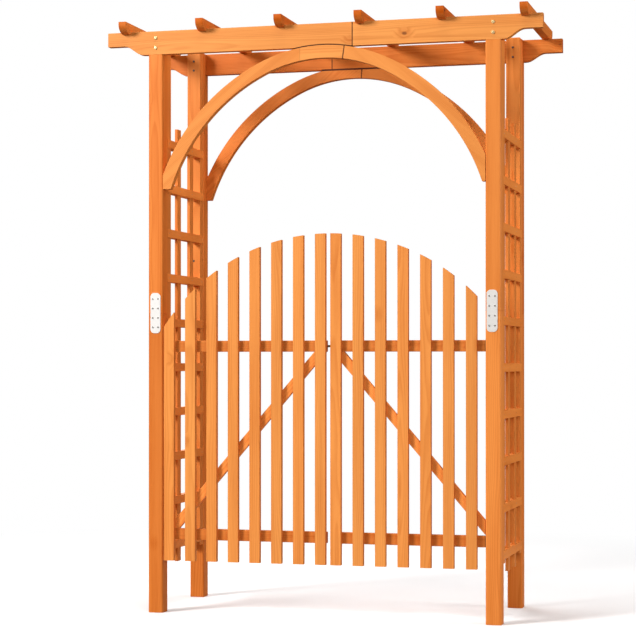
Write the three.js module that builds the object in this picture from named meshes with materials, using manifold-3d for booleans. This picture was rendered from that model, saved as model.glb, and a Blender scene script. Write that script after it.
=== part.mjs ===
// Garden arch with a two-leaf picket gate: millimetres, +Z up, front towards -Y.
// The origin is on the floor, in the middle of the arch.
import * as THREE from "three";
import { mergeVertices } from "three/addons/utils/BufferGeometryUtils.js";
import Module from "manifold-3d";

const wasm = await Module();
wasm.setup();

// Frame
const openingWidth = 1176; // between the inner faces of the posts
const postSize = 55; // square section
const postChamfer = 4;
const postGap = 406; // clear distance from front posts to rear posts
const postSeam = 1080; // height of the butt joint between a post's halves

// Header boards
const headerTop = 2098; // of the front header, which the rafters straddle; they lie flat on the rear one
const headerHeight = 84;
const rearHeaderHeight = 80;
const headerThickness = 28;
const headerOverhang = 150; // past the outer faces of the posts
const headerOffset = -6; // from the middle of the opening to the header's own middle
const tipHeight = 50; // depth of the slim end of the board
const tipLength = 63; // straight run of the slim end
const ogeeRun = 72; // length of the curved step up to full depth
const headerOuterJoint = 116; // from the middle to the joint seen on the outer face
const headerInnerJoint = -85; // and to the one seen on the inner face

// Rafters
const rafterCount = 6;
const rafterInset = 65.5; // from the end of a header to the middle of the outermost rafter
const rafterWidth = 28;
const rafterHeight = 40;
const rafterNotch = 8; // over the front header
const rafterOverhang = 45; // past the outer face of either header
const rafterNose = 10; // upright part of the end above its round

// Arched boards under the headers
const frontArchOffset = 9; // how far the arch's middle stands right of the opening's middle
const rearArchOffset = -1;
const archShift = 77; // from the arch's middle to the centre of either side's arc, each beyond it
const archBulge = 58.3; // by which the sides' outer arcs, at their widest, would pass the posts
const crownSpread = 25; // degrees either side of the top over which one smaller arc joins the two sides
const archDepth = 45; // from outer to inner edge
const crownRecess = 7; // how far the crown would stand in the front header
const archFootRise = 212; // from the centres of the sides' arcs up to the flat cut at the foot
const archOuterJoint = 78; // from the arch's middle, on the outer face
const archInnerJoint = -33;
const archRelief = 0.5; // play between the crown and the hollow in the header
const jointGap = 0.3; // between the slanted ends of two arched boards

// Side lattices
const stileWidth = 38;
const stileThickness = 51;
const stileBottom = 205;
const rungCount = 10;
const rungHeight = 30;
const rungThickness = 30;
const rungPitch = 162.8;
const lowestRung = 233; // centre of the lowest rung
const slatCount = 2;
const slatWidth = 38;
const rungProud = 1.5; // the rungs' faces stand past the stiles'
const slatPitch = 138;
const slatThickness = 11;
const slatSetback = 3; // behind the rungs' faces
const slatOverrun = 50; // past the outermost rungs

// Gate
const picketWidth = 38;
const picketThickness = 19;
const leftPickets = 8;
const rightPickets = 7;
const picketBottom = 189;
const gateSideGap = 4;
const rightRailEnd = 26.2; // of the right leaf's rails, between its last picket and its hinges
const meetingGap = 18;
const gatePeak = 1357;
const gateFall = 326.8; // from the peak to the top of the gate at its hinges
const railHeight = 40;
const railThickness = 19;
const lowerRail = 264; // underside of the lower rail
const upperRail = 940; // underside of the upper rail
const braceWidth = 33;
const braceAngle = 49.24; // degrees above level
const braceInset = 24; // from the meeting edge to the brace's middle, under the upper rail

// Mending plates over the post seams
const mendWidth = 38;
const mendLength = 145;
const rightMendShift = -4; // the plates on the right sit off their posts' middles
const mendThickness = 2;
const mendCorner = 14;
const mendRows = 4;
const mendRowPitch = 34;
const mendColumnPitch = 20;
const mendScrewRadius = 3.6;
const mendScrewHead = 0.8;

// Hinges
const knuckleRadius = 4;
const pinRadius = 2;
const pinPlay = 0.08;
const hingeHeight = 38;
const knuckleGap = 0.5; // between neighbouring knuckles
const hingePlate = 2;
const postPlateWidth = 32;
const gatePlateWidth = 34;
const hingeScrewRadius = 2.6;
const hingeScrewHead = 0.7;
const hingeScrewInset = 8; // from the plate's free end and from its upper and lower edges
const knuckleStandOff = 0.3; // from the post and from the rail

// Latch bolt
const boltRadius = 4;
const boltPlay = 0.1;
const boltTip = 12; // past the meeting edge when withdrawn
const boltLength = 134;
const boltNose = 1.5;
const housingPlate = 2;
const housingHeight = 28;
const housingLength = 88;
const housingInset = 6; // from the meeting edge
const guideWidth = 11;
const guideWall = 2.2;
const knobRadius = 3;
const knobHeight = 15;
const knobHeadRadius = 5.5;
const knobHeadHeight = 5;
const keeperPlay = 1;
const keeperLength = 24;
const keeperInset = 3;
const keeperGuide = 9;

// Drawing accuracy
const weldDistance = 1e-4;
const cutOverrun = 5;
const roundSides = 16;
const screwSides = 10;
const pinSides = 24;
const ogeeSteps = 8;
const archSteps = 14;
const cornerSteps = 5;
const picketTopSteps = 4;
const noseSteps = 6;

// Sizes worked out from those above
const innerX = openingWidth / 2;
const postX = innerX + postSize / 2;
const headerLength = 2 * (innerX + postSize + headerOverhang);
const outerY = postGap / 2 + postSize; // outer faces of the posts, and of all that is flush with them
const innerY = postGap / 2;
const headerBottom = headerTop - headerHeight;
const rafterBottom = headerTop - rafterNotch;
const overallHeight = rafterBottom + rafterHeight;
const rafterPitch = (headerLength - 2 * rafterInset) / (rafterCount - 1);
const crownTurn = THREE.MathUtils.degToRad(crownSpread);
const archRadius = innerX + archShift + archBulge; // outer edge of a side
const crownRadius = archRadius - archShift / Math.sin(crownTurn); // outer edge of the crown
const crownCentre = headerBottom + crownRecess - crownRadius;
const archSpring = crownCentre - archShift / Math.tan(crownTurn);
const archFoot = archSpring + archFootRise;
const frontLevels = { top: headerTop, bottom: headerBottom };
const rearLevels = { top: rafterBottom, bottom: rafterBottom - rearHeaderHeight };
const railFront = -outerY + picketThickness;
const railBack = railFront + railThickness;
const picketRoom = openingWidth - 2 * (gateSideGap + picketWidth) - meetingGap - rightRailEnd;
const picketPitch = picketRoom / (leftPickets + rightPickets - 2);
const leftLeafStart = -innerX + gateSideGap;
const leftLeafEnd = leftLeafStart + (leftPickets - 1) * picketPitch + picketWidth;
const rightLeafStart = leftLeafEnd + meetingGap;
const rightLeafEnd = innerX - gateSideGap;
const meetingX = (leftLeafEnd + rightLeafStart) / 2;
const gateTopRadius = ((meetingX - leftLeafStart) ** 2 + gateFall ** 2) / (2 * gateFall);

const softwood = { color: 0xe8914f, roughness: 0.55, metalness: 0 };
const zinc = { color: 0xd9d7d2, roughness: 0.4, metalness: 0.9 };
const blackSteel = { color: 0x2b2725, roughness: 0.5, metalness: 0.7 };

function toSolid(geometry) {
  const plain = geometry.clone();
  plain.deleteAttribute("normal");
  plain.deleteAttribute("uv");
  const merged = mergeVertices(plain, weldDistance);
  const vertProperties = merged.attributes.position.array;
  const triVerts = new Uint32Array(merged.index.array);
  return new wasm.Manifold(new wasm.Mesh({ numProp: 3, vertProperties, triVerts }));
}

function toGeometry(solid) {
  const { vertProperties, triVerts } = solid.getMesh();
  const geometry = new THREE.BufferGeometry();
  geometry.setAttribute("position", new THREE.BufferAttribute(vertProperties, 3));
  geometry.setIndex(new THREE.BufferAttribute(triVerts, 1));
  geometry.computeVertexNormals();
  return geometry;
}

function join(...geometries) {
  return toGeometry(geometries.map(toSolid).reduce((whole, piece) => whole.add(piece)));
}

function cut(geometry, ...tools) {
  return toGeometry(tools.map(toSolid).reduce((whole, tool) => whole.subtract(tool), toSolid(geometry)));
}

// A box between two opposite corners
function block(from, to) {
  const size = to.map((value, axis) => value - from[axis]);
  const middle = to.map((value, axis) => (value + from[axis]) / 2);
  return new THREE.BoxGeometry(...size).translate(...middle);
}

// An outline in X and Z, given its thickness from back to front along Y
function board(outline, front, back, curveSegments = 1) {
  const geometry = new THREE.ExtrudeGeometry(outline, {
    depth: back - front,
    bevelEnabled: false,
    curveSegments,
  });
  return geometry.rotateX(Math.PI / 2).translate(0, back, 0);
}

function rod(radius, length, sides = roundSides) {
  return new THREE.CylinderGeometry(radius, radius, length, sides);
}

function outlineOf(points) {
  return new THREE.Shape(points.map(([x, z]) => new THREE.Vector2(x, z)));
}

const part = new THREE.Group();

function place(name, geometry, finish, parent = part) {
  const mesh = new THREE.Mesh(geometry, new THREE.MeshStandardMaterial(finish));
  mesh.name = name;
  parent.add(mesh);
  return mesh;
}

// A square post with chamfered corners, standing on z = 0, its middle on the Z axis
function postStick(height) {
  const half = postSize / 2;
  const shoulder = half - postChamfer;
  const corners = [
    [half, shoulder],
    [shoulder, half],
    [-shoulder, half],
    [-half, shoulder],
    [-half, -shoulder],
    [-shoulder, -half],
    [shoulder, -half],
    [half, -shoulder],
  ];
  return new THREE.ExtrudeGeometry(outlineOf(corners), { depth: height, bevelEnabled: false });
}

// The upper half, with its outer side, towards -Y, cut back for the header at these levels
function upperPost(levels) {
  const half = postSize / 2;
  const height = levels.top - postSeam;
  const seat = block(
    [-postSize, -postSize, levels.bottom - postSeam],
    [postSize, -half + headerThickness, height + cutOverrun],
  );
  return cut(postStick(height), seat);
}

function mendingPlate() {
  const halfWidth = mendWidth / 2;
  const halfLength = mendLength / 2;
  const outline = new THREE.Shape();
  outline.absarc(halfWidth - mendCorner, halfLength - mendCorner, mendCorner, 0, Math.PI / 2);
  outline.absarc(-halfWidth + mendCorner, halfLength - mendCorner, mendCorner, Math.PI / 2, Math.PI);
  outline.absarc(-halfWidth + mendCorner, -halfLength + mendCorner, mendCorner, Math.PI, 1.5 * Math.PI);
  outline.absarc(halfWidth - mendCorner, -halfLength + mendCorner, mendCorner, 1.5 * Math.PI, 2 * Math.PI);
  const plate = board(outline, -mendThickness, 0, cornerSteps);
  const screws = [];
  for (let row = 0; row < mendRows; row += 1) {
    for (const side of [-1, 1]) {
      const height = mendThickness / 2 + mendScrewHead;
      const screw = rod(mendScrewRadius, height, screwSides).translate(
        (side * mendColumnPitch) / 2,
        -mendThickness / 2 - height / 2,
        (row - (mendRows - 1) / 2) * mendRowPitch,
      );
      screws.push(screw);
    }
  }
  return join(plate, ...screws);
}

// The curved step under a header's end: it leaves level, falls, and arrives level
function ogee(outline, fromX, fromZ, toX, toZ) {
  for (let step = 1; step <= ogeeSteps; step += 1) {
    const share = step / ogeeSteps;
    const fall = (1 - Math.cos(Math.PI * share)) / 2;
    outline.lineTo(fromX + (toX - fromX) * share, fromZ + (toZ - fromZ) * fall);
  }
}

function headerOutline(levels, offset) {
  const { top, bottom } = levels;
  const end = headerLength / 2;
  const tipBottom = top - tipHeight;
  const stepStart = end - tipLength;
  const stepEnd = stepStart - ogeeRun;
  const outline = new THREE.Shape();
  outline.moveTo(-end, top);
  outline.lineTo(-end, tipBottom);
  outline.lineTo(-stepStart, tipBottom);
  ogee(outline, -stepStart, tipBottom, -stepEnd, bottom);
  outline.lineTo(stepEnd, bottom);
  ogee(outline, stepEnd, bottom, stepStart, tipBottom);
  outline.lineTo(end, tipBottom);
  outline.lineTo(end, top);
  return new THREE.Shape(outline.getPoints().map((point) => new THREE.Vector2(point.x + offset, point.y)));
}

// The hollow in the front header's underside that takes the crown of the arch
function crownHollow(archMiddle) {
  const radius = crownRadius + archRelief;
  const start = Math.asin((headerBottom - cutOverrun - crownCentre) / radius);
  const outline = new THREE.Shape();
  outline.absarc(archMiddle, crownCentre, radius, start, Math.PI - start);
  return board(outline, -headerThickness - cutOverrun, cutOverrun, archSteps);
}

// The room between a header's levels, from which an arch cut level under it is trimmed
function headerRoom(levels) {
  const front = -headerThickness - cutOverrun;
  return block([-headerLength, front, levels.bottom], [headerLength, cutOverrun, levels.top]);
}

// Cuts for two half-lapped boards between y = -headerThickness and y = 0. The first board runs to
// outerJoint on its outer face and to innerJoint behind it, and the second fills what it leaves.
function lapCuts(outerJoint, innerJoint, bottom, top) {
  const front = -headerThickness - cutOverrun;
  const middle = -headerThickness / 2;
  return {
    first: [
      block([outerJoint, front, bottom], [headerLength, middle, top]),
      block([innerJoint, middle, bottom], [headerLength, cutOverrun, top]),
    ],
    second: [
      block([-headerLength, front, bottom], [outerJoint, middle, top]),
      block([-headerLength, middle, bottom], [innerJoint, cutOverrun, top]),
    ],
  };
}

// A header's two boards, their outer face on y = -headerThickness
function headerBoards(levels, offset, hollows, outerJoint, innerJoint) {
  const whole = cut(board(headerOutline(levels, offset), -headerThickness, 0), ...hollows);
  const laps = lapCuts(outerJoint, innerJoint, levels.bottom - cutOverrun, levels.top + cutOverrun);
  return [cut(whole, ...laps.first), cut(whole, ...laps.second)];
}

// The arch over the opening, cut upright at the posts and level at its feet
function archOutline(middle) {
  const innerRadius = archRadius - archDepth;
  const innerCrown = crownRadius - archDepth;
  const rightEnd = Math.PI / 2 - crownTurn;
  const leftEnd = Math.PI / 2 + crownTurn;
  const rightCentre = middle - archShift;
  const leftCentre = middle + archShift;
  const rightFoot = Math.acos((innerX - rightCentre) / archRadius);
  const leftFoot = Math.acos((innerX + leftCentre) / archRadius);
  const innerFoot = Math.asin((archFoot - archSpring) / innerRadius);
  const outline = new THREE.Shape();
  outline.moveTo(rightCentre + innerRadius * Math.cos(innerFoot), archFoot);
  outline.lineTo(innerX, archFoot);
  outline.absarc(rightCentre, archSpring, archRadius, rightFoot, rightEnd);
  outline.absarc(middle, crownCentre, crownRadius, rightEnd, leftEnd);
  outline.absarc(leftCentre, archSpring, archRadius, leftEnd, Math.PI - leftFoot);
  outline.lineTo(-innerX, archFoot);
  outline.absarc(leftCentre, archSpring, innerRadius, Math.PI - innerFoot, leftEnd, true);
  outline.absarc(middle, crownCentre, innerCrown, leftEnd, rightEnd, true);
  outline.absarc(rightCentre, archSpring, innerRadius, rightEnd, innerFoot, true);
  return outline;
}

// Half of an end cut through the crown, at this distance from its middle: it leans as the arc's spoke does
function spokeCut(middle, joint, side, front, back) {
  const lean = Math.asin(joint / crownRadius);
  const reach = crownRadius + headerLength;
  const from = side < 0 ? -headerLength : -jointGap / 2;
  const to = side < 0 ? jointGap / 2 : headerLength;
  return block([from, front, -reach], [to, back, reach]).rotateY(lean).translate(middle, 0, crownCentre);
}

// The arch's two half-lapped boards, their outer face on y = -headerThickness
function archBoards(middle, trims) {
  const whole = cut(board(archOutline(middle), -headerThickness, 0, archSteps), ...trims);
  const front = -headerThickness - cutOverrun;
  const lap = -headerThickness / 2;
  return [1, -1].map((side) =>
    cut(
      whole,
      spokeCut(middle, archOuterJoint, side, front, lap),
      spokeCut(middle, archInnerJoint, side, lap, cutOverrun),
    ),
  );
}

// A rafter runs along Y: upright noses, round undersides to the headers' faces, a notch over the front one
function rafter() {
  const reach = outerY + rafterOverhang;
  const noseBottom = rafterHeight - rafterNose;
  const outline = new THREE.Shape();
  outline.moveTo(-reach, rafterHeight);
  outline.lineTo(reach, rafterHeight);
  outline.lineTo(reach, noseBottom);
  outline.absellipse(outerY, noseBottom, rafterOverhang, noseBottom, 0, -Math.PI / 2, true);
  outline.lineTo(-outerY, 0);
  outline.absellipse(-outerY, noseBottom, rafterOverhang, noseBottom, -Math.PI / 2, -Math.PI, true);
  const points = new THREE.Shape(outline.getPoints(noseSteps));
  const stick = new THREE.ExtrudeGeometry(points, { depth: rafterWidth, bevelEnabled: false });
  const along = stick.rotateX(Math.PI / 2).rotateZ(Math.PI / 2).translate(-rafterWidth / 2, 0, 0);
  const notchBack = -outerY + headerThickness;
  return cut(along, block([-rafterWidth, -outerY, -cutOverrun], [rafterWidth, notchBack, rafterNotch]));
}

// A side lattice for either side. x = 0 is the middle of its posts, and its rungs lie towards +X.
function sideLattice() {
  const stileFace = stileThickness / 2;
  const rungFace = stileFace + rungProud;
  const slatFace = rungFace - slatSetback;
  const endRung = ((rungCount - 1) * rungPitch + rungHeight) / 2;
  const middleZ = lowestRung + ((rungCount - 1) * rungPitch) / 2;
  const slatReach = endRung + slatOverrun;
  const bars = [];
  for (const fromY of [-innerY, innerY - stileWidth]) {
    bars.push(block([-stileFace, fromY, stileBottom], [stileFace, fromY + stileWidth, rafterBottom]));
  }
  for (let rung = 0; rung < rungCount; rung += 1) {
    const bottom = lowestRung + rung * rungPitch - rungHeight / 2;
    bars.push(block([rungFace - rungThickness, -innerY, bottom], [rungFace, innerY, bottom + rungHeight]));
  }
  for (let slat = 0; slat < slatCount; slat += 1) {
    const fromY = (slat - (slatCount - 1) / 2) * slatPitch - slatWidth / 2;
    const from = [slatFace - slatThickness, fromY, middleZ - slatReach];
    bars.push(block(from, [slatFace, fromY + slatWidth, middleZ + slatReach]));
  }
  return join(...bars);
}

// Height of the gate's arched top at a place across the opening
function gateTop(x) {
  return gatePeak - gateTopRadius + Math.sqrt(gateTopRadius ** 2 - (x - meetingX) ** 2);
}

function picket(startX) {
  const outline = new THREE.Shape();
  outline.moveTo(startX, picketBottom);
  outline.lineTo(startX + picketWidth, picketBottom);
  for (let step = 0; step <= picketTopSteps; step += 1) {
    const x = startX + picketWidth * (1 - step / picketTopSteps);
    outline.lineTo(x, gateTop(x));
  }
  return board(outline, -outerY, railFront);
}

function rail(startX, endX, bottom) {
  return block([startX, railFront, bottom], [endX, railBack, bottom + railHeight]);
}

// A brace falls from under the upper rail, near the meeting edge, towards the hinges.
// It ends on the lower rail, or where it meets the hinge edge of the leaf.
function brace(meetingEdge, hingeEdge) {
  const towardsHinge = Math.sign(hingeEdge - meetingEdge);
  const top = upperRail;
  const bottom = lowerRail + railHeight;
  const lean = THREE.MathUtils.degToRad(braceAngle);
  const halfLevel = braceWidth / 2 / Math.sin(lean);
  const topX = meetingEdge + towardsHinge * braceInset;
  const bottomX = topX + (towardsHinge * (top - bottom)) / Math.tan(lean);
  const stick = board(
    outlineOf([
      [topX - halfLevel, top],
      [topX + halfLevel, top],
      [bottomX + halfLevel, bottom],
      [bottomX - halfLevel, bottom],
    ]),
    railFront,
    railBack,
  );
  const beyond = [hingeEdge, hingeEdge + towardsHinge * openingWidth].sort((a, b) => a - b);
  return cut(stick, block([beyond[0], -outerY, 0], [beyond[1], 0, overallHeight]));
}

// A hinge for the left side, its pin on the Z axis and its middle on z = 0.
// The plate on the post lies in the gap beside the leaf, the other on the back of the rail.
const knuckleOffset = knuckleRadius + knuckleStandOff;
const knuckleHeight = (hingeHeight - 2 * knuckleGap) / 3;

function knuckle(middleZ) {
  return rod(knuckleRadius, knuckleHeight).rotateX(Math.PI / 2).translate(0, 0, middleZ);
}

// Two screw heads on a plate whose outer face is at this depth
function hingeScrews(across, face) {
  const height = hingePlate / 2 + hingeScrewHead;
  const middle = face - hingePlate / 2 + height / 2;
  const level = hingeHeight / 2 - hingeScrewInset;
  return [-level, level].map((z) => rod(hingeScrewRadius, height, screwSides).translate(across, middle, z));
}

function hingePostPlate() {
  const outerZ = (hingeHeight - knuckleHeight) / 2;
  const halfHeight = hingeHeight / 2;
  const face = -knuckleOffset + hingePlate;
  const plate = block([-knuckleOffset, -postPlateWidth, -halfHeight], [face, 0, halfHeight]);
  const relief = block(
    [-knuckleOffset - cutOverrun, -knuckleRadius - knuckleGap, -knuckleHeight / 2 - knuckleGap],
    [face + cutOverrun, cutOverrun, knuckleHeight / 2 + knuckleGap],
  );
  const pin = rod(pinRadius, hingeHeight, pinSides).rotateX(Math.PI / 2);
  return join(cut(plate, relief), knuckle(-outerZ), knuckle(outerZ), pin);
}

function hingeGatePlate() {
  const halfHeight = hingeHeight / 2;
  const front = -knuckleOffset;
  const face = front + hingePlate;
  const plate = block([0, front, -halfHeight], [gatePlateWidth, face, halfHeight]);
  const reliefs = [-1, 1].map((side) => {
    const inner = side * (knuckleHeight / 2);
    const outer = side * (halfHeight + cutOverrun);
    return block(
      [-cutOverrun, front - cutOverrun, Math.min(inner, outer)],
      [knuckleRadius + knuckleGap, face + cutOverrun, Math.max(inner, outer)],
    );
  });
  const bore = rod(pinRadius + pinPlay, hingeHeight + cutOverrun, pinSides).rotateX(Math.PI / 2);
  const across = gatePlateWidth - hingeScrewInset;
  const withBarrel = join(cut(plate, ...reliefs), knuckle(0));
  return join(cut(withBarrel, bore), ...hingeScrews(across, face));
}

// Latch pieces, with the bolt's centre line along X at y = 0 and z = 0
const boltCentre = housingPlate + guideWall + boltRadius + boltPlay; // from the rail's back face

function boltGuide(startX, width, play) {
  const half = boltRadius + play + guideWall;
  return block([startX, -boltCentre + housingPlate / 2, -half], [startX + width, half, half]);
}

// The housing on the left leaf: x = 0 is the meeting edge
function latchHousing() {
  const end = -housingInset;
  const start = end - housingLength;
  const half = housingHeight / 2;
  const plate = block([start, -boltCentre, -half], [end, -boltCentre + housingPlate, half]);
  const guides = [start + housingInset, end - guideWidth].map((x) => boltGuide(x, guideWidth, boltPlay));
  const bore = rod(boltRadius + boltPlay, housingLength + 2 * cutOverrun).rotateZ(Math.PI / 2);
  return cut(join(plate, ...guides), bore.translate((start + end) / 2, 0, 0));
}

function latchBolt() {
  const nose = new THREE.CylinderGeometry(boltRadius - boltNose, boltRadius, boltNose, roundSides);
  const shank = rod(boltRadius, boltLength - boltNose);
  const knobX = -housingInset - housingLength / 2 - housingInset;
  const knob = rod(knobRadius, knobHeight, screwSides).translate(knobX, knobHeight / 2, 0);
  const head = rod(knobHeadRadius, knobHeadHeight).translate(knobX, knobHeight, 0);
  const shankMiddle = boltTip - boltNose - (boltLength - boltNose) / 2;
  return join(
    shank.rotateZ(-Math.PI / 2).translate(shankMiddle, 0, 0),
    nose.rotateZ(-Math.PI / 2).translate(boltTip - boltNose / 2, 0, 0),
    knob,
    head,
  );
}

// The keeper on the right leaf, with a square hole for the bolt: x = 0 is that leaf's meeting edge
function latchKeeper() {
  const half = housingHeight / 2;
  const end = keeperInset + keeperLength;
  const plate = block([keeperInset, -boltCentre, -half], [end, -boltCentre + housingPlate, half]);
  const guide = boltGuide(keeperInset + (keeperLength - keeperGuide) / 2, keeperGuide, keeperPlay);
  const halfHole = boltRadius + keeperPlay;
  const hole = block([-cutOverrun, -halfHole, -halfHole], [end + cutOverrun, halfHole, halfHole]);
  return cut(join(plate, guide), hole);
}

function addPosts() {
  const lower = postStick(postSeam);
  const plate = mendingPlate();
  for (const [depthName, facing, levels] of [["front", 0, frontLevels], ["rear", Math.PI, rearLevels]]) {
    const upper = upperPost(levels);
    for (const [sideName, side] of [["left", -1], ["right", 1]]) {
      const post = new THREE.Group();
      post.position.set(side * postX, facing === 0 ? -outerY + postSize / 2 : outerY - postSize / 2, 0);
      post.rotation.z = facing;
      part.add(post);
      place(`post_${depthName}_${sideName}_lower`, lower, softwood, post);
      place(`post_${depthName}_${sideName}_upper`, upper, softwood, post).position.z = postSeam;
      const mend = place(`mending_plate_${depthName}_${sideName}`, plate, zinc, post);
      mend.position.set(side > 0 ? Math.cos(facing) * rightMendShift : 0, -postSize / 2, postSeam);
    }
  }
}

// Headers and arches: the rear header's ends and joints mirror the front one's, and the rear arch's joints
// are the front's turned half round. The front arch stands in a hollow of its header, and the rear arch is
// cut level under its own.
function addCrown() {
  const crowns = [
    ["front", frontLevels, 1, frontArchOffset, true, ["left", "right"]],
    ["rear", rearLevels, -1, rearArchOffset, false, ["right", "left"]],
  ];
  for (const [name, levels, mirror, archOffset, hollow, sides] of crowns) {
    const middle = mirror * archOffset;
    const joints = [mirror * headerOuterJoint, mirror * headerInnerJoint];
    const hollows = hollow ? [crownHollow(middle)] : [];
    const trims = hollow ? [] : [headerRoom(levels)];
    const headers = headerBoards(levels, mirror * headerOffset, hollows, ...joints);
    const arches = archBoards(middle, trims);
    const crown = new THREE.Group();
    crown.rotation.z = mirror > 0 ? 0 : Math.PI;
    part.add(crown);
    sides.forEach((side, index) => {
      for (const [kind, boards] of [["header", headers], ["arch", arches]]) {
        const mesh = place(`${kind}_${name}_${side}`, boards[index], softwood, crown);
        mesh.position.y = -outerY + headerThickness;
      }
    });
  }
}

function addRafters() {
  const stick = rafter();
  for (let index = 0; index < rafterCount; index += 1) {
    const x = (index - (rafterCount - 1) / 2) * rafterPitch;
    place(`rafter_${index + 1}`, stick, softwood).position.set(x, 0, rafterBottom);
  }
}

function addLattices() {
  const lattice = sideLattice();
  place("side_lattice_left", lattice, softwood).position.x = -postX;
  place("side_lattice_right", lattice, softwood).position.x = postX;
}

function addLeaf(sideName, count, start, end) {
  for (let index = 0; index < count; index += 1) {
    place(`picket_${sideName}_${index + 1}`, picket(start + index * picketPitch), softwood);
  }
  place(`rail_${sideName}_upper`, rail(start, end, upperRail), softwood);
  place(`rail_${sideName}_lower`, rail(start, end, lowerRail), softwood);
}

function addHinges() {
  const postPlate = hingePostPlate();
  const gatePlate = hingeGatePlate();
  const mirror = (geometry) => toGeometry(toSolid(geometry).mirror([1, 0, 0]));
  const pinX = innerX - knuckleOffset;
  const pinY = railBack + knuckleOffset;
  const sides = [
    ["left", -1, postPlate, gatePlate],
    ["right", 1, mirror(postPlate), mirror(gatePlate)],
  ];
  for (const [sideName, side, onPost, onGate] of sides) {
    for (const [levelName, bottom] of [["upper", upperRail], ["lower", lowerRail]]) {
      const hinge = new THREE.Group();
      hinge.position.set(side * pinX, pinY, bottom + railHeight / 2);
      part.add(hinge);
      place(`hinge_${sideName}_${levelName}_post_plate`, onPost, blackSteel, hinge);
      place(`hinge_${sideName}_${levelName}_gate_plate`, onGate, blackSteel, hinge);
    }
  }
}

function addLatch() {
  const height = upperRail + railHeight / 2;
  const latch = new THREE.Group();
  latch.position.set(leftLeafEnd, railBack + boltCentre, height);
  part.add(latch);
  place("latch_housing", latchHousing(), blackSteel, latch);
  place("latch_bolt", latchBolt(), blackSteel, latch);
  place("latch_keeper", latchKeeper(), blackSteel, latch).position.x = meetingGap;
}

addPosts();
addCrown();
addRafters();
addLattices();
addLeaf("left", leftPickets, leftLeafStart, leftLeafEnd);
addLeaf("right", rightPickets, rightLeafStart, rightLeafEnd);
place("brace_left", brace(leftLeafEnd, leftLeafStart), softwood);
place("brace_right", brace(rightLeafStart, rightLeafEnd), softwood);
addHinges();
addLatch();

export default part;
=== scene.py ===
import math
import random

import bmesh
import bpy
from mathutils import Euler, Matrix, Vector


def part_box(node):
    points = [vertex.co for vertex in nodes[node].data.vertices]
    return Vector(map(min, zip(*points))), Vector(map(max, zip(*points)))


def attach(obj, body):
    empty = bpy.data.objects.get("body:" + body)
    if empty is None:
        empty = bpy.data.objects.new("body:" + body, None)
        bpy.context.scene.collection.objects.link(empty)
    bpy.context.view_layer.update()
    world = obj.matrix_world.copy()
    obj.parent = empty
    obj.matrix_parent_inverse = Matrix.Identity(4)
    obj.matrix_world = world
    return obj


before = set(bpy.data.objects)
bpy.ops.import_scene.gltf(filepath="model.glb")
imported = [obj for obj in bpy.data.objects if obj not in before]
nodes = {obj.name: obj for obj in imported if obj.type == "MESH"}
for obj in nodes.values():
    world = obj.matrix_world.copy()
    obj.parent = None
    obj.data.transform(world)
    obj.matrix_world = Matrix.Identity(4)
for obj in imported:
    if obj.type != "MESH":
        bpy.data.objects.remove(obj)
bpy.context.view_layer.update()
dice = random.Random(41)
print("frame:", len(nodes), "nodes")


# Small helpers for node trees

def feed(tree, socket, value):  # links a socket, or sets a plain value
    if isinstance(value, bpy.types.NodeSocket):
        tree.links.new(value, socket)
    else:
        socket.default_value = value


def addNode(tree, kind, *values, out=0, **settings):
    node = tree.nodes.new("ShaderNode" + kind)
    for key, value in settings.items():
        setattr(node, key, value)
    for socket, value in zip(node.inputs, values):
        feed(tree, socket, value)
    return node.outputs[out]


def calc(tree, operation, *values):
    return addNode(tree, "Math", *values, operation=operation)


def vectorCalc(tree, operation, *values):
    out = 1 if operation in ("LENGTH", "DOT_PRODUCT") else 0
    return addNode(tree, "VectorMath", *values, operation=operation, out=out)


def noise(tree, vector, scales, detail=2.0, roughness=0.5, out="Fac"):
    node = tree.nodes.new("ShaderNodeTexNoise")
    feed(tree, node.inputs["Vector"], vectorCalc(tree, "MULTIPLY", vector, scales))
    feed(tree, node.inputs["Scale"], 1.0)
    feed(tree, node.inputs["Detail"], detail)
    feed(tree, node.inputs["Roughness"], roughness)
    return node.outputs[out]


def voronoi(tree, vector, scale=1.0):
    node = tree.nodes.new("ShaderNodeTexVoronoi")
    feed(tree, node.inputs["Vector"], vector)
    feed(tree, node.inputs["Scale"], scale)
    return node.outputs


def addBump(tree, strength, depth, height):
    node = tree.nodes.new("ShaderNodeBump")
    feed(tree, node.inputs["Strength"], strength)
    feed(tree, node.inputs["Distance"], depth)
    feed(tree, node.inputs["Height"], height)
    return node.outputs["Normal"]


def remap(tree, value, low, high, toLow=0.0, toHigh=1.0):
    return addNode(tree, "MapRange", value, low, high, toLow, toHigh, interpolation_type="SMOOTHSTEP")


def mixColour(tree, share, first, second):
    node = tree.nodes.new("ShaderNodeMix")
    node.data_type = "RGBA"
    feed(tree, node.inputs[0], share)
    feed(tree, node.inputs[6], first)
    feed(tree, node.inputs[7], second)
    return node.outputs[2]


def mixVector(tree, share, first, second):
    node = tree.nodes.new("ShaderNodeMix")
    node.data_type = "VECTOR"
    feed(tree, node.inputs[0], share)
    feed(tree, node.inputs[4], first)
    feed(tree, node.inputs[5], second)
    return node.outputs[1]


def newMaterial(name):
    material = bpy.data.materials.new(name)
    material.use_nodes = True
    tree = material.node_tree
    return material, tree, tree.nodes["Principled BSDF"]


def objectPlace(tree):
    return tree.nodes.new("ShaderNodeTexCoord").outputs["Object"]


# Stained softwood: rings round a pith, fibres, slow streaks and knots, all drawn out along board X.
# A grain is given in waves a metre, along the board and across it.

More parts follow.
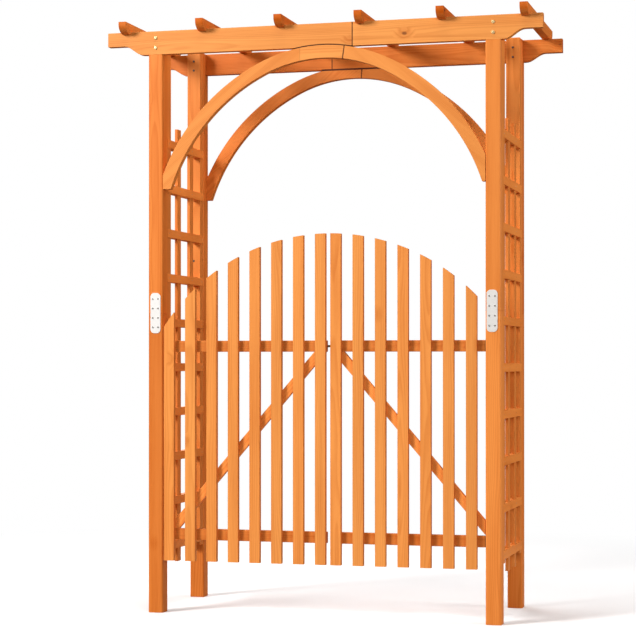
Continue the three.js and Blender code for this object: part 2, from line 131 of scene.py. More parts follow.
woodLook = {
    "light": (0.80, 0.292, 0.066, 1),
    "dark": (0.52, 0.122, 0.012, 1),
    "knot": (0.20, 0.052, 0.012, 1),
    # the dark joint lines, and the painted shade lines where the headers meet the crowns of the arches
    "joint": (0.075, 0.020, 0.006, 1),
    "ringPitch": 0.0042,
    "ringStrength": 0.26,
    "ringEdges": (0.25, 0.86),  # where the dark part of a ring starts, and where it is darkest
    "warpGrain": (1.6, 9.0, 9.0),
    "warp": (0.0, 0.034, 0.034),
    "fibreGrain": (14, 900, 900),
    "fibreStrength": 0.16,
    "poreGrain": (40, 2600, 2600),
    "streakGrain": (1.1, 42, 42),
    "streakStrength": 0.26,
    "patchGrain": (2.5, 7, 7),
    "patchStrength": 0.14,
    "endStrength": 0.45,
    "knotCells": (5.0, 8.5, 8.5),
    "knotShare": 0.42,  # of the cells
    "knotRadius": 0.075,  # in cells
    "knotRagged": ((60, 110, 110), 0.05),  # grain, and reach in cells
    "knotStrength": 0.85,
    "haloReach": 3.4,  # in knot radii
    "haloStrength": 0.35,
    "haloSwing": 0.006,  # of the rings round a knot
    "roughness": (0.40, 0.56),
    "endRoughness": 0.2,  # added on end grain
    "specular": 0.15,
    "relief": {"ring": -0.35, "fibre": 0.8, "pore": 0.3, "knot": 0.6},
    "reliefDepth": 0.0003,
    "bump": 0.10,
}


def makeWoodGroup(look):
    tree = bpy.data.node_groups.new("StainedSoftwood", "ShaderNodeTree")
    inputs = {"Place": "Vector", "Tone": "Float", "Redness": "Float", "End": "Float", "JointAndShade": "Float"}
    outputs = {"Colour": "Color", "Roughness": "Float", "Normal": "Vector"}
    for name, kind in inputs.items():
        tree.interface.new_socket(name, in_out="INPUT", socket_type="NodeSocket" + kind)
    for name, kind in outputs.items():
        tree.interface.new_socket(name, in_out="OUTPUT", socket_type="NodeSocket" + kind)
    given = tree.nodes.new("NodeGroupInput")
    result = tree.nodes.new("NodeGroupOutput")
    place = given.outputs["Place"]

    # knots: only some cells hold one, and each is a small rough oval
    cells = voronoi(tree, vectorCalc(tree, "MULTIPLY", place, look["knotCells"]))
    lot = addNode(tree, "SeparateColor", cells["Color"])
    holds = calc(tree, "LESS_THAN", lot, look["knotShare"])
    grain, reach = look["knotRagged"]
    ragged = calc(tree, "MULTIPLY_ADD", noise(tree, place, grain), reach, cells["Distance"])
    radius = look["knotRadius"]
    core = calc(tree, "MULTIPLY", holds, remap(tree, ragged, radius * 0.75, radius * 1.15, 1.0, 0.0))
    around = remap(tree, ragged, radius, radius * look["haloReach"], 1.0, 0.0)
    halo = calc(tree, "MULTIPLY", holds, around)

    # rings bend with a slow warp and swing round the knots
    warp = noise(tree, place, look["warpGrain"], detail=1.5, out="Color")
    centred = vectorCalc(tree, "SUBTRACT", warp, (0.5, 0.5, 0.5))
    bent = vectorCalc(tree, "MULTIPLY", centred, look["warp"])
    across = vectorCalc(tree, "MULTIPLY", vectorCalc(tree, "ADD", place, bent), (0, 1, 1))
    distance = calc(tree, "MULTIPLY_ADD", halo, look["haloSwing"], vectorCalc(tree, "LENGTH", across))
    turn = calc(tree, "FRACT", calc(tree, "DIVIDE", distance, look["ringPitch"]))
    start, full = look["ringEdges"]
    late = calc(tree, "MULTIPLY", remap(tree, turn, start, full), remap(tree, turn, full, 1.0, 1.0, 0.0))
    fibre = noise(tree, place, look["fibreGrain"], detail=3.0)
    pores = noise(tree, place, look["poreGrain"], detail=1.0)
    streak = noise(tree, place, look["streakGrain"], detail=3.0, roughness=0.6)
    patch = noise(tree, place, look["patchGrain"], detail=1.0)

    depth = calc(tree, "MULTIPLY", late, look["ringStrength"])
    for share, strength in (
        (remap(tree, streak, 0.38, 0.72), look["streakStrength"]),
        (remap(tree, fibre, 0.3, 0.8), look["fibreStrength"]),
        (halo, look["haloStrength"]),
        (given.outputs["End"], look["endStrength"]),
        (remap(tree, patch, 0.35, 0.7), look["patchStrength"]),
    ):
        depth = calc(tree, "MULTIPLY_ADD", share, strength, depth)
    colour = mixColour(tree, depth, look["light"], look["dark"])
    colour = mixColour(tree, calc(tree, "MULTIPLY", core, look["knotStrength"]), colour, look["knot"])
    # dark joint lines, and painted shade lines along the crowns of the arches
    colour = mixColour(tree, given.outputs["JointAndShade"], colour, look["joint"])
    redness = given.outputs["Redness"]
    toned = tree.nodes.new("ShaderNodeHueSaturation")
    feed(tree, toned.inputs["Hue"], calc(tree, "SUBTRACT", 0.5, redness))
    feed(tree, toned.inputs["Saturation"], calc(tree, "MULTIPLY_ADD", redness, 4.0, 1.0))
    feed(tree, toned.inputs["Value"], given.outputs["Tone"])
    feed(tree, toned.inputs["Color"], colour)
    feed(tree, result.inputs["Colour"], toned.outputs["Color"])

    low, high = look["roughness"]
    shine = calc(tree, "MULTIPLY_ADD", fibre, high - low, low)
    rough = calc(tree, "MULTIPLY_ADD", given.outputs["End"], look["endRoughness"], shine)
    feed(tree, result.inputs["Roughness"], rough)
    relief = look["relief"]
    height = calc(tree, "MULTIPLY", fibre, relief["fibre"])
    height = calc(tree, "MULTIPLY_ADD", late, relief["ring"], height)
    height = calc(tree, "MULTIPLY_ADD", pores, relief["pore"], height)
    height = calc(tree, "MULTIPLY_ADD", core, relief["knot"], height)
    feed(tree, result.inputs["Normal"], addBump(tree, look["bump"], look["reliefDepth"], height))
    return tree


woodGroup = makeWoodGroup(woodLook)
grainTurns = {"X": (0, 0, 0), "Y": (0, 0, -math.pi / 2), "Z": (0, math.pi / 2, 0)}
pithPlace = {"along": 4, "aside": (0.02, 0.07), "up": 0.06}  # how far from the pith a board is cut


# Moves and turns a piece's own place into board space, with the pith a little way outside the board
def boardPlace(tree, place, centre, turn):
    rotation = Euler(turn)
    along = dice.uniform(-pithPlace["along"], pithPlace["along"])
    side = dice.choice((-1, 1)) * dice.uniform(*pithPlace["aside"])
    pith = Vector((along, side, dice.uniform(-pithPlace["up"], pithPlace["up"])))
    mapping = tree.nodes.new("ShaderNodeMapping")
    feed(tree, mapping.inputs["Vector"], place)
    mapping.inputs["Location"].default_value = pith - rotation.to_matrix() @ centre
    mapping.inputs["Rotation"].default_value = rotation
    return mapping.outputs["Vector"]


# How far a face looks along the grain: 1 on end grain
def endShare(tree, turn):
    normal = tree.nodes.new("ShaderNodeTexCoord").outputs["Normal"]
    grain = Euler(turn).to_matrix().inverted() @ Vector((1, 0, 0))
    along = calc(tree, "ABSOLUTE", vectorCalc(tree, "DOT_PRODUCT", normal, grain))
    return remap(tree, along, 0.55, 0.9)


def finishWood(tree, shader, place, end, tone, redness, joint=0.0):
    wood = tree.nodes.new("ShaderNodeGroup")
    wood.node_tree = woodGroup
    feed(tree, wood.inputs["Place"], place)
    feed(tree, wood.inputs["Tone"], tone)
    feed(tree, wood.inputs["Redness"], redness)
    feed(tree, wood.inputs["End"], end)
    feed(tree, wood.inputs["JointAndShade"], joint)
    feed(tree, shader.inputs["Base Color"], wood.outputs["Colour"])
    feed(tree, shader.inputs["Roughness"], wood.outputs["Roughness"])
    feed(tree, shader.inputs["Normal"], wood.outputs["Normal"])
    shader.inputs["Specular IOR Level"].default_value = woodLook["specular"]


# Dark lines where boards meet: the half laps, on the outer and on the inner face of a header or an arch.
# Along the seam between a header and the crown of its arch the dark line is painted shade, standing for
# the shadow in the gap there
joints = {
    "halfWidth": 0.0019,
    "lapPlane": 0.244,  # between outer and inner face, from the middle of the depth
    "header": {"outer": 0.116, "inner": -0.085},
    "archMiddle": {"front": 0.009, "rear": -0.001},
    "archOffset": {
        "front": {"outer": 0.078, "inner": -0.033},
        "rear": {"outer": -0.078, "inner": 0.033},
    },
    "crownRadius": 0.5411,
    "crownCentre": 1.4799,  # height of the crown's centre
    "crownShadeLine": 0.0040,  # width of the painted shade line on the front header round the crown of the arch, standing for the shadow in the gap above the arch
    "rearSeam": 2.010,  # height of the rear header's underside
    "rearShadeReach": 0.125,  # reach of the painted shade line under the rear header, from the arch's middle, either way
    # half the width of the painted shade line along the rear header's underside
    "rearShadeHalf": 0.0032,
}


# A point of the joint's plane, and the plane's normal
def jointPlane(kind, depth, face):
    if kind == "header":
        return Vector((joints["header"][face], 0, 0)), Vector((1, 0, 0))
    middle = joints["archMiddle"][depth]
    offset = joints["archOffset"][depth][face]
    lean = math.asin(offset / joints["crownRadius"])
    return Vector((middle, 0, joints["crownCentre"])), Vector((math.cos(lean), 0, -math.sin(lean)))


# Painted shade: a dark band on the front header round the crown of its arch, where the gap between them
# lies in shadow
def frontCrownShadeShare(tree, place):
    centre = (joints["archMiddle"]["front"], 0, joints["crownCentre"])
    flat = vectorCalc(tree, "MULTIPLY", vectorCalc(tree, "SUBTRACT", place, centre), (1, 0, 1))
    reach = vectorCalc(tree, "LENGTH", flat)
    return calc(tree, "LESS_THAN", reach, joints["crownRadius"] + joints["crownShadeLine"])


# Painted shade: a dark line at the rear header's underside, over the crown of the rear arch, standing
# for the shadow under the header
def rearCrownShadeShare(tree, place):
    x = addNode(tree, "SeparateXYZ", place)
    z = addNode(tree, "SeparateXYZ", place, out=2)
    aside = calc(tree, "ABSOLUTE", calc(tree, "SUBTRACT", x, joints["archMiddle"]["rear"]))
    above = calc(tree, "ABSOLUTE", calc(tree, "SUBTRACT", z, joints["rearSeam"]))
    near = calc(tree, "LESS_THAN", above, joints["rearShadeHalf"])
    return calc(tree, "MULTIPLY", near, calc(tree, "LESS_THAN", aside, joints["rearShadeReach"]))


# The lap joints' dark lines, and on the front header, the rear header and the rear arch also the painted
# shade lines along the crowns
def jointShare(tree, name, place):
    kind, depth = name.split("_")[:2]
    away = calc(tree, "ABSOLUTE", addNode(tree, "SeparateXYZ", place, out=1))
    outside = calc(tree, "GREATER_THAN", away, joints["lapPlane"])
    shares = []
    for face, onFace in (("outer", outside), ("inner", calc(tree, "SUBTRACT", 1.0, outside))):
        point, normal = jointPlane(kind, depth, face)
        offset = vectorCalc(tree, "DOT_PRODUCT", vectorCalc(tree, "SUBTRACT", place, point), normal)
        near = calc(tree, "LESS_THAN", calc(tree, "ABSOLUTE", offset), joints["halfWidth"])
        shares.append(calc(tree, "MULTIPLY", near, onFace))
    if name.startswith("header_front"):
        shares.append(frontCrownShadeShare(tree, place))
    elif depth == "rear":
        shares.append(rearCrownShadeShare(tree, place))
    total = shares[0]
    for share in shares[1:]:
        total = calc(tree, "MAXIMUM", total, share)
    return total


# Tone and redness of each kind of board, by the first name that fits. Each board draws its own. Some of
# the tones also hold painted light and painted shade, as marked below.
boardTonesWithPaintedLight = {
    # painted light: the front right post is lighter than the other posts, most of all its lower half,
    # standing for more light falling on it
    "post_front_right_upper": ((1.01, 1.04), (0.003, 0.006)),
    "post_front_right_lower": ((1.07, 1.10), (0.002, 0.005)),
    # painted shade: the lower half of the front left post is darker, standing for shade on it
    "post_front_left_lower": ((0.86, 0.89), (0.005, 0.009)),
    "post": ((0.92, 0.96), (0.005, 0.009)),
    "header_front": ((1.00, 1.03), (-0.006, -0.003)),
    # painted shade: the rear header is darker and redder, standing for the shade that the front header
    # and arch throw on it
    "header_rear": ((0.82, 0.87), (0.006, 0.010)),
    "arch_front": ((1.00, 1.04), (-0.005, -0.001)),
    "arch_rear": ((0.90, 0.95), (0.002, 0.006)),
    "rafter": ((0.89, 0.95), (0.004, 0.009)),
    "picket": ((1.03, 1.07), (-0.004, -0.001)),
    # painted shade: the rails are darker, standing for the shade behind the pickets
    "rail": ((0.80, 0.85), (0.002, 0.006)),
    # painted light: the braces are lighter, painting over the shadow that the pickets cast on them
    "brace": ((1.12, 1.17), (-0.002, 0.002)),
}


# The front arch is pieced at its crown: the short piece over the lap is paler, with level grain
crownPiece = {
    "node": "arch_front_left",
    "start": -0.075,  # its left end
    "pithShift": (1.7, 0.315, -1.965),  # puts the pith level, just in front of the board
    "tone": 0.02,
    "redness": -0.002,
    "seamHalf": 0.0008,
    "seam": 0.35,
}


def pieceCrown(tree, own, place, tone, redness, joint, look):
    x = addNode(tree, "SeparateXYZ", own)
    past = calc(tree, "GREATER_THAN", x, look["start"])
    place = mixVector(tree, past, place, vectorCalc(tree, "ADD", own, look["pithShift"]))
    tone = calc(tree, "MULTIPLY_ADD", past, look["tone"], tone)
    redness = calc(tree, "MULTIPLY_ADD", past, look["redness"], redness)
    offset = calc(tree, "ABSOLUTE", calc(tree, "SUBTRACT", x, look["start"]))
    seam = calc(tree, "MULTIPLY", calc(tree, "LESS_THAN", offset, look["seamHalf"]), look["seam"])
    return place, tone, redness, calc(tree, "MAXIMUM", joint, seam)


def boardWood(name, turn):
    material, tree, shader = newMaterial("wood_" + name)
    low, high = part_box(name)
    kind = next(kind for kind in boardTonesWithPaintedLight if name.startswith(kind))
    tones, reds = boardTonesWithPaintedLight[kind]
    own = objectPlace(tree)
    place = boardPlace(tree, own, (low + high) / 2, turn)
    joint = jointShare(tree, name, own) if name.startswith(("header", "arch")) else 0.0
    tone = dice.uniform(*tones)
    redness = dice.uniform(*reds)
    if name == crownPiece["node"]:
        place, tone, redness, joint = pieceCrown(tree, own, place, tone, redness, joint, crownPiece)
    finishWood(tree, shader, place, endShare(tree, turn), tone, redness, joint)
    return material


latticeBars = {
    "rungs": 10,
    "lowestRung": 0.233,
    "rungPitch": 0.1628,
    "rungHalf": 0.0152,
    "stileInner": 0.165,
    "rungPlane": 0.0223,  # from the lattice's left side: the stiles end and the rungs begin
    "uprightSpread": 8.7,  # tells stiles from slats when rounded
    "uprightShift": (1.37, 0.011),  # of the grain from one upright to the next, along and across
    "rungShift": (1.73, -0.93 * 0.1628),  # the same from one rung to the next: down by most of a pitch
    "tone": 0.95,
    "rungLightAndTone": (0.15, 0.24),  # painted light added on the rungs, making them as bright as if more light fell on them: each takes its own between these
    "redness": 0.003,
}


# One mesh holds upright and level bars, so the place of a point says which way its grain runs
def latticeWood(name, bars):
    material, tree, shader = newMaterial("wood_" + name)
    low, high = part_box(name)
    centre = (low + high) / 2
    place = objectPlace(tree)
    split = tree.nodes.new("ShaderNodeSeparateXYZ")
    feed(tree, split.inputs[0], place)
    x, y, z = split.outputs
    step = calc(tree, "DIVIDE", calc(tree, "SUBTRACT", z, bars["lowestRung"]), bars["rungPitch"])
    rung = calc(tree, "MINIMUM", calc(tree, "MAXIMUM", calc(tree, "ROUND", step), 0), bars["rungs"] - 1)
    gap = calc(tree, "ABSOLUTE", calc(tree, "SUBTRACT", step, rung))
    level = calc(tree, "LESS_THAN", gap, bars["rungHalf"] / bars["rungPitch"])
    onStile = calc(tree, "GREATER_THAN", calc(tree, "ABSOLUTE", y), bars["stileInner"])
    stileAlone = calc(tree, "MULTIPLY", onStile, calc(tree, "LESS_THAN", x, low.x + bars["rungPlane"]))
    level = calc(tree, "MULTIPLY", level, calc(tree, "SUBTRACT", 1.0, stileAlone))
    upright = calc(tree, "ROUND", calc(tree, "MULTIPLY", y, bars["uprightSpread"]))

    uprightPlace = boardPlace(tree, place, centre, grainTurns["Z"])
    levelPlace = boardPlace(tree, place, centre, grainTurns["Y"])
    along, across = (calc(tree, "MULTIPLY", upright, shift) for shift in bars["uprightShift"])
    uprightPlace = vectorCalc(tree, "ADD", uprightPlace, addNode(tree, "CombineXYZ", along, across))
    along, down = (calc(tree, "MULTIPLY", rung, shift) for shift in bars["rungShift"])
    levelPlace = vectorCalc(tree, "ADD", levelPlace, addNode(tree, "CombineXYZ", along, 0.0, down))
    mixed = mixVector(tree, level, uprightPlace, levelPlace)
    ends = tree.nodes.new("ShaderNodeMix")
    feed(tree, ends.inputs[0], level)
    feed(tree, ends.inputs[2], endShare(tree, grainTurns["Z"]))
    feed(tree, ends.inputs[3], endShare(tree, grainTurns["Y"]))

    # an uneven number for each rung, the same on every run
    wave = calc(tree, "SINE", calc(tree, "MULTIPLY", rung, 12.9))
    lot = calc(tree, "FRACT", calc(tree, "MULTIPLY", wave, 43.7))
    least, most = bars["rungLightAndTone"]
    lot = calc(tree, "MULTIPLY_ADD", lot, most - least, least)
    # the rungs are lighter than the uprights: painted light, with an uneven share for each rung
    tone = calc(tree, "MULTIPLY_ADD", lot, level, bars["tone"])
    finishWood(tree, shader, mixed, ends.outputs[0], tone, bars["redness"])
    return material


# Metals: two colours in fine cells, "spangle" of them a metre, and in slow clouds

metalLooks = {
    "plate": {
        "colour": (0.90, 0.90, 0.90, 1),
        "shade": (0.78, 0.78, 0.79, 1),
        "roughness": (0.34, 0.48),
        "metallic": 0.3,
        "spangle": 130,
        "bump": 0.05,
    },
    "bolt": {
        "colour": (0.80, 0.64, 0.34, 1),
        "shade": (0.66, 0.50, 0.24, 1),
        "roughness": (0.34, 0.46),
        "metallic": 0.6,
        "spangle": 400,
        "bump": 0.03,
    },
    "dark": {
        "colour": (0.10, 0.075, 0.06, 1),
        "shade": (0.055, 0.04, 0.035, 1),
        "roughness": (0.38, 0.52),
        "metallic": 0.3,
        "spangle": 700,
        "bump": 0.05,
    },
    "black": {
        "colour": (0.022, 0.021, 0.020, 1),
        "shade": (0.045, 0.042, 0.040, 1),
        "roughness": (0.42, 0.6),
        "metallic": 0.0,
        "spangle": 1500,
        "bump": 0.25,
    },
    "steel": {
        "colour": (0.46, 0.45, 0.44, 1),
        "shade": (0.34, 0.33, 0.32, 1),
        "roughness": (0.24, 0.38),
        "metallic": 1.0,
        "spangle": 700,
        "bump": 0.05,
    },
}

metalMix = {"cells": 0.35, "clouds": 0.65, "cloudGrain": (22, 22, 22), "reliefDepth": 0.0005}


def makeMetal(name, look):
    material, tree, shader = newMaterial(name)
    place = objectPlace(tree)
    lot = addNode(tree, "SeparateColor", voronoi(tree, place, look["spangle"])["Color"])
    cloud = noise(tree, place, metalMix["cloudGrain"], detail=4.0)
    cloud = remap(tree, cloud, 0.3, 0.75, 0.0, metalMix["clouds"])
    share = calc(tree, "MULTIPLY_ADD", lot, metalMix["cells"], cloud)
    feed(tree, shader.inputs["Base Color"], mixColour(tree, share, look["colour"], look["shade"]))
    low, high = look["roughness"]
    feed(tree, shader.inputs["Roughness"], calc(tree, "MULTIPLY_ADD", share, high - low, low))
    shader.inputs["Metallic"].default_value = look["metallic"]
    feed(tree, shader.inputs["Normal"], addBump(tree, look["bump"], metalMix["reliefDepth"], lot))
    return material


metals = {kind: makeMetal(kind + "Metal", look) for kind, look in metalLooks.items()}


# Dressing of the CAD nodes: softened arrises, then a material each

softening = {
    "post": 0.0012,
    "header": 0.0022,
    "arch": 0.0022,
    "rafter": 0.0022,
    "side": 0.0010,
    "picket": 0.0018,
    "rail": 0.0016,
    "brace": 0.0016,
    "mending": 0.0005,
    "hinge": 0.0003,
    "latch": 0.0004,
}

arris = {"weld": 0.00001, "segments": 2, "angle": math.radians(32)}


def soften(node, width):
    weld = node.modifiers.new("Weld", "WELD")
    weld.merge_threshold = arris["weld"]
    bevel = node.modifiers.new("Arris", "BEVEL")
    bevel.width = width
    bevel.segments = arris["segments"]
    bevel.limit_method = "ANGLE"
    bevel.angle_limit = arris["angle"]
    bevel.miter_outer = "MITER_ARC"
    bevel.harden_normals = False
    normals = node.modifiers.new("Faces", "WEIGHTED_NORMAL")
    normals.keep_sharp = True


nodeMetals = {"mending": "plate", "hinge": "black", "latch": "black"}
grainAxes = {"header": "X", "rail": "X", "rafter": "Y", "post": "Z", "picket": "Z"}
grainAngles = {"brace": math.radians(49.24), "arch": math.radians(38.9)}  # up towards the middle


def grainOf(name):
    kind = name.split("_")[0]
    if kind in grainAxes:
        return grainTurns[grainAxes[kind]]
    angle = grainAngles[kind]
    return (0, angle if name.endswith("left") else -angle, 0)


def dressNodes():
    for name in sorted(nodes):
        kind = name.split("_")[0]
        node = nodes[name]
        soften(node, softening[kind])
        if kind in nodeMetals:
            material = metals[nodeMetals[kind]]
        elif kind == "side":
            material = latticeWood(name, latticeBars)
        else:
            material = boardWood(name, grainOf(name))
        node.data.materials.clear()
        node.data.materials.append(material)


dressNodes()
print("nodes dressed")


# Screw, nail and bolt heads. Each kind is turned once, facing up, and copied to its places. It stands
# proud of the face, is sunk a little below it, and has round edges and a recess, the socket, in its rim.

headKinds = {
    "bolt": {
        "radius": 0.0062,
        "proud": 0.0032,
        "sunk": 0.001,
        "round": 0.0024,
        "rim": 0.0018,
        "socket": 0.0013,
        "sides": 24,
        "cross": False,
        "metal": "bolt",
    },
    "darkScrew": {
        "radius": 0.0040,
        "proud": 0.0018,
        "sunk": 0.001,
        "round": 0.0006,
        "rim": 0.0012,
        "socket": 0.0008,
        "sides": 18,
        "cross": False,
        "metal": "dark",
    },
    "plateScrew": {
        "radius": 0.0030,
        "proud": 0.0006,
        "sunk": 0.0004,
        "round": 0.0004,
        "rim": 0.0007,
        "socket": 0.0009,
        "sides": 12,
        "cross": True,
        "metal": "dark",
    },
    "woodScrew": {
        "radius": 0.0037,
        "proud": 0.0005,
        "sunk": 0.001,
        "round": 0.0003,
        "rim": 0.0009,
        "socket": 0.0010,
        "sides": 12,
        "cross": True,
        "metal": "bolt",
    },
    "nail": {
        "radius": 0.0017,
        "proud": 0.0003,
        "sunk": 0.001,
        "round": 0.0002,
        "rim": 0.0004,
        "socket": 0.0001,
        "sides": 12,
        "cross": False,
        "metal": "steel",
    },
}

headMaking = {
    "roundSegments": 3,
    "crossWaist": 0.42,  # of the cross's reach
    "socketDraft": 0.00008,
    "sharp": math.radians(40),
}


def turnHead(head):
    mesh = bmesh.new()
    tall = head["proud"] + head["sunk"]
    upright = Matrix.Translation((0, 0, tall / 2 - head["sunk"]))
    bmesh.ops.create_cone(
        mesh,
        cap_ends=True,
        segments=head["sides"],
        radius1=head["radius"],
        radius2=head["radius"],
        depth=tall,
        matrix=upright,
    )
    bmesh.ops.bevel(
        mesh,
        geom=[edge for edge in mesh.edges if all(vert.co.z > 0 for vert in edge.verts)],
        affect="EDGES",
        offset=head["round"],
        offset_type="OFFSET",
        segments=headMaking["roundSegments"],
        profile=0.5,
        material=-1,
        clamp_overlap=True,
    )
    top = max(mesh.faces, key=lambda face: face.calc_center_median().z)
    bmesh.ops.inset_individual(mesh, faces=[top], thickness=head["rim"], depth=0)
    if head["cross"]:
        for index, loop in enumerate(top.loops):
            if index % 3 == 2:
                loop.vert.co.xy *= headMaking["crossWaist"]
    draft = headMaking["socketDraft"]
    bmesh.ops.inset_individual(mesh, faces=[top], thickness=draft, depth=-head["socket"])
    for face in mesh.faces:
        face.smooth = True
    data = bpy.data.meshes.new("Head")
    mesh.to_mesh(data)
    mesh.free()
    return data


headMeshes = {kind: turnHead(head) for kind, head in headKinds.items()}


# Places are pairs of a spot on the surface and the direction that the head faces
def addHeads(name, kind, body, places):
    mesh = bmesh.new()
    for spot, normal in places:
        before = len(mesh.verts)
        mesh.from_mesh(headMeshes[kind])
        mesh.verts.ensure_lookup_table()
        facing = Vector(normal).to_track_quat("Z", "Y").to_matrix().to_4x4()
        where = Matrix.Translation(spot) @ facing @ Matrix.Rotation(dice.uniform(0, math.tau), 4, "Z")
        bmesh.ops.transform(mesh, matrix=where, verts=mesh.verts[before:])
    data = bpy.data.meshes.new(name)
    mesh.to_mesh(data)
    mesh.free()
    data.set_sharp_from_angle(angle=headMaking["sharp"])
    data.materials.append(metals[headKinds[kind]["metal"]])
    piece = bpy.data.objects.new(name, data)
    bpy.context.scene.collection.objects.link(piece)
    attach(piece, body)


sideNames = (("left", -1), ("right", 1))
depthNames = (("front", -1), ("rear", 1))

headerBolts = {"front": (2.074, 2.038), "rear": (2.054, 2.019)}  # their levels


# Coach bolts run through the headers, the posts and the lattices' stiles
def addHeaderBolts(levels):
    for depth, facing in depthNames:
        heads = []
        for side, _ in sideNames:
            low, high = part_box(f"post_{depth}_{side}_upper")
            face = low.y if facing < 0 else high.y
            heads += [(((low.x + high.x) / 2, face, level), (0, facing, 0)) for level in levels[depth]]
        addHeads(f"bolts_{depth}", "bolt", "frame", heads)


addHeaderBolts(headerBolts)

stileScrews = {"levels": (0.300, 0.640, 1.290), "face": 0.165}


# On the stiles' inner faces: screws into the posts, and the ends of the coach bolts
def addStileScrews(look, bolts):
    for side, _ in sideNames:
        low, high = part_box(f"post_front_{side}_upper")
        across = (low.x + high.x) / 2
        places = []
        for depth, facing in depthNames:
            levels = look["levels"] + bolts[depth]
            places += [((across, facing * look["face"], level), (0, -facing, 0)) for level in levels]
        addHeads(f"stile_screws_{side}", "darkScrew", "frame", places)


addStileScrews(stileScrews, headerBolts)

plateScrews = {"rows": 4, "rowPitch": 0.034, "columnPitch": 0.020}


# A crosshead in each screw of the mending plates
def addPlateScrews(look):
    for depth, facing in depthNames:
        for side, _ in sideNames:
            low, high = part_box(f"mending_plate_{depth}_{side}")
            middle = (low + high) / 2
            face = low.y if facing < 0 else high.y
            places = []
            for index in range(look["rows"]):
                level = middle.z + (index - (look["rows"] - 1) / 2) * look["rowPitch"]
                for column in (-1, 1):
                    across = middle.x + column * look["columnPitch"] / 2
                    places.append(((across, face, level), (0, facing, 0)))
            addHeads(f"plate_screws_{depth}_{side}", "plateScrew", "frame", places)


addPlateScrews(plateScrews)

railScrews = {"inset": 0.010, "pickets": {"left": 8, "right": 7}}


def covered(spot, ironwork):
    return any(low.x < spot[0] < high.x and low.z < spot[2] < high.z for low, high in ironwork)


# Each picket is screwed on from behind, twice through each rail, but not where a hinge or the latch lies
def addRailScrews(look):
    ironwork = [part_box(name) for name in nodes if name.startswith(("hinge", "latch"))]
    for side, _ in sideNames:
        places = []
        for level in ("upper", "lower"):
            low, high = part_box(f"rail_{side}_{level}")
            for index in range(look["pickets"][side]):
                start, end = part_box(f"picket_{side}_{index + 1}")
                for height in (low.z + look["inset"], high.z - look["inset"]):
                    spot = ((start.x + end.x) / 2, high.y, height)
                    if not covered(spot, ironwork):
                        places.append((spot, (0, 1, 0)))
        addHeads(f"rail_screws_{side}", "woodScrew", f"{side}_leaf", places)


addRailScrews(railScrews)

crownScrews = {
    "rafters": 6,
    "toe": (0.014, 0.013),  # of the rafters' screws: inwards from the header, and up from its top
    "header": {"across": (-0.052, 0.083), "inset": 0.020},  # across the lap, and from the board's edges
    "arch": {"along": 0.028, "drop": 0.022},  # from the joints into the lap, and below the board's top
}


# Screws through the feet of the rafters, slanting down from their left sides, and through the laps of
# headers and arches from behind
def addCrownScrews(look):
    places = []
    for index in range(look["rafters"]):
        low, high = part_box(f"rafter_{index + 1}")
        for depth, facing in depthNames:
            start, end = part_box(f"header_{depth}_left")
            inward, up = look["toe"]
            y = (end.y if facing < 0 else start.y) - facing * inward
            places.append(((low.x, y, end.z + up), (-1, 0, 0)))
    addHeads("rafter_screws", "woodScrew", "frame", places)
    for depth, facing in depthNames:
        low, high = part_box(f"header_{depth}_left")
        inset = look["header"]["inset"]
        levels = (high.z - inset, low.z + inset)
        spots = [(x, high.y, level) for x in look["header"]["across"] for level in levels]
        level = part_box(f"arch_{depth}_left")[1].z - look["arch"]["drop"]
        left, right = sorted(joints["archOffset"][depth].values())
        for offset in (left + look["arch"]["along"], right - look["arch"]["along"]):
            spots.append((joints["archMiddle"][depth] + offset, high.y, level))
        places = [(spot, (0, 1, 0)) for spot in spots]
        addHeads(f"lap_screws_{depth}", "darkScrew", "frame", places)


addCrownScrews(crownScrews)

nailsAcross = (-0.184, -0.069, 0.069, 0.184)  # on the stiles and on the slats


def addLatticeNails(bars, across):
    for side, _ in sideNames:
        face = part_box(f"side_lattice_{side}")[1].x
        levels = [bars["lowestRung"] + rung * bars["rungPitch"] for rung in range(bars["rungs"])]
        places = [((face, y, level), (1, 0, 0)) for level in levels for y in across]
        addHeads(f"lattice_nails_{side}", "nail", "frame", places)


addLatticeNails(latticeBars, nailsAcross)
print("screws, nails and bolts")


# Camera at the photograph's place

cameraLook = {
    "place": (1.7095, -6.6079, 0.9087),
    "yaw": 15.22,
    "pitch": 0.26,
    "lens": 105.03,
    "sensor": 36,
    "shift": (0.0042, 0.0502),
    "farthest": 200,
}


def addCamera(look):
    data = bpy.data.cameras.new("Camera")
    data.lens = look["lens"]
    data.sensor_width = look["sensor"]
    data.shift_x, data.shift_y = look["shift"]
    data.clip_end = look["farthest"]
    camera = bpy.data.objects.new("Camera", data)
    camera.location = look["place"]
    camera.rotation_euler = (math.radians(90 + look["pitch"]), 0, math.radians(look["yaw"]))
    bpy.context.scene.collection.objects.link(camera)
    bpy.context.scene.camera = camera


addCamera(cameraLook)

# Studio: pale floor, white surroundings and soft lamps

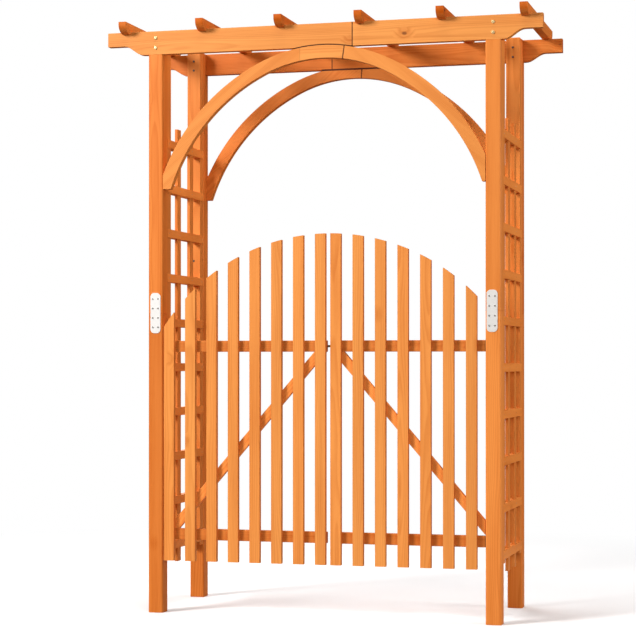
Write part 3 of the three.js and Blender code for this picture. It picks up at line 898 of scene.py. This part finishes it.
studio = {
    "floor": (0.88, 0.90, 0.94, 1),
    "floorBounce": (0.34, 0.32, 0.30, 1),  # what the floor gives back to the wood
    "floorSize": 60,
    "floorFade": (1.6, 3.4),  # distances over which the floor turns into the white surroundings
    "floorRoughness": 0.9,
    "floorSpecular": 0.1,
    "surround": (1.0, 0.89, 0.78, 1),
    "surroundPower": 0.06,
    "lampTarget": (0, 0, 1.0),
    "lamps": {
        "Key": {"at": (-4.2, -4.8, 4.3), "size": 2.2, "power": 560, "colour": (1, 0.97, 0.93)},
        "Front": {"at": (3.4, -5.8, 2.8), "size": 2.6, "power": 150, "colour": (1, 0.97, 0.93)},
        "Side": {"at": (5.2, 0.3, 2.0), "size": 1.8, "power": 125, "colour": (1, 0.95, 0.88)},
        "Overhead": {"at": (0, 0.2, 5.0), "size": 3.0, "power": 190, "colour": (1, 0.98, 0.95)},
        "Back": {"at": (-3.4, 5.0, 3.2), "size": 3.0, "power": 110, "colour": (1, 0.97, 0.94)},
    },
}


def addFloor(look):
    bpy.ops.mesh.primitive_plane_add(size=look["floorSize"])
    floor = bpy.context.object
    floor.name = "Floor"
    material, tree, shader = newMaterial("PaleFloor")
    path = tree.nodes.new("ShaderNodeLightPath").outputs["Is Camera Ray"]
    feed(tree, shader.inputs["Base Color"], mixColour(tree, path, look["floorBounce"], look["floor"]))
    shader.inputs["Roughness"].default_value = look["floorRoughness"]
    shader.inputs["Specular IOR Level"].default_value = look["floorSpecular"]
    near, far = look["floorFade"]
    away = remap(tree, vectorCalc(tree, "LENGTH", objectPlace(tree)), near, far)
    glow = addNode(tree, "Emission", (1, 1, 1, 1), path)
    faded = addNode(tree, "MixShader", away, shader.outputs[0], glow)
    tree.links.new(faded, tree.nodes["Material Output"].inputs["Surface"])
    floor.data.materials.append(material)


def addLamps(look):
    for name, lamp in look["lamps"].items():
        data = bpy.data.lights.new(name, "AREA")
        data.shape = "DISK"
        data.size = lamp["size"]
        data.energy = lamp["power"]
        data.color = lamp["colour"]
        light = bpy.data.objects.new(name, data)
        light.location = lamp["at"]
        aim = Vector(look["lampTarget"]) - Vector(lamp["at"])
        light.rotation_euler = aim.to_track_quat("-Z", "Y").to_euler()
        bpy.context.scene.collection.objects.link(light)


# The camera sees white all round, and the object is lit by a faint warm surround
def addSurround(look):
    world = bpy.data.worlds.new("Surround")
    bpy.context.scene.world = world
    world.use_nodes = True
    tree = world.node_tree
    tree.nodes.clear()
    path = tree.nodes.new("ShaderNodeLightPath").outputs["Is Camera Ray"]
    lit = addNode(tree, "Background", look["surround"], look["surroundPower"])
    seen = addNode(tree, "Background", (1, 1, 1, 1), 1.0)
    output = tree.nodes.new("ShaderNodeOutputWorld")
    feed(tree, output.inputs["Surface"], addNode(tree, "MixShader", path, lit, seen))


addFloor(studio)
addLamps(studio)
addSurround(studio)
bpy.context.scene.view_settings.view_transform = "Standard"
print("studio and camera")

bpy.context.view_layer.update()
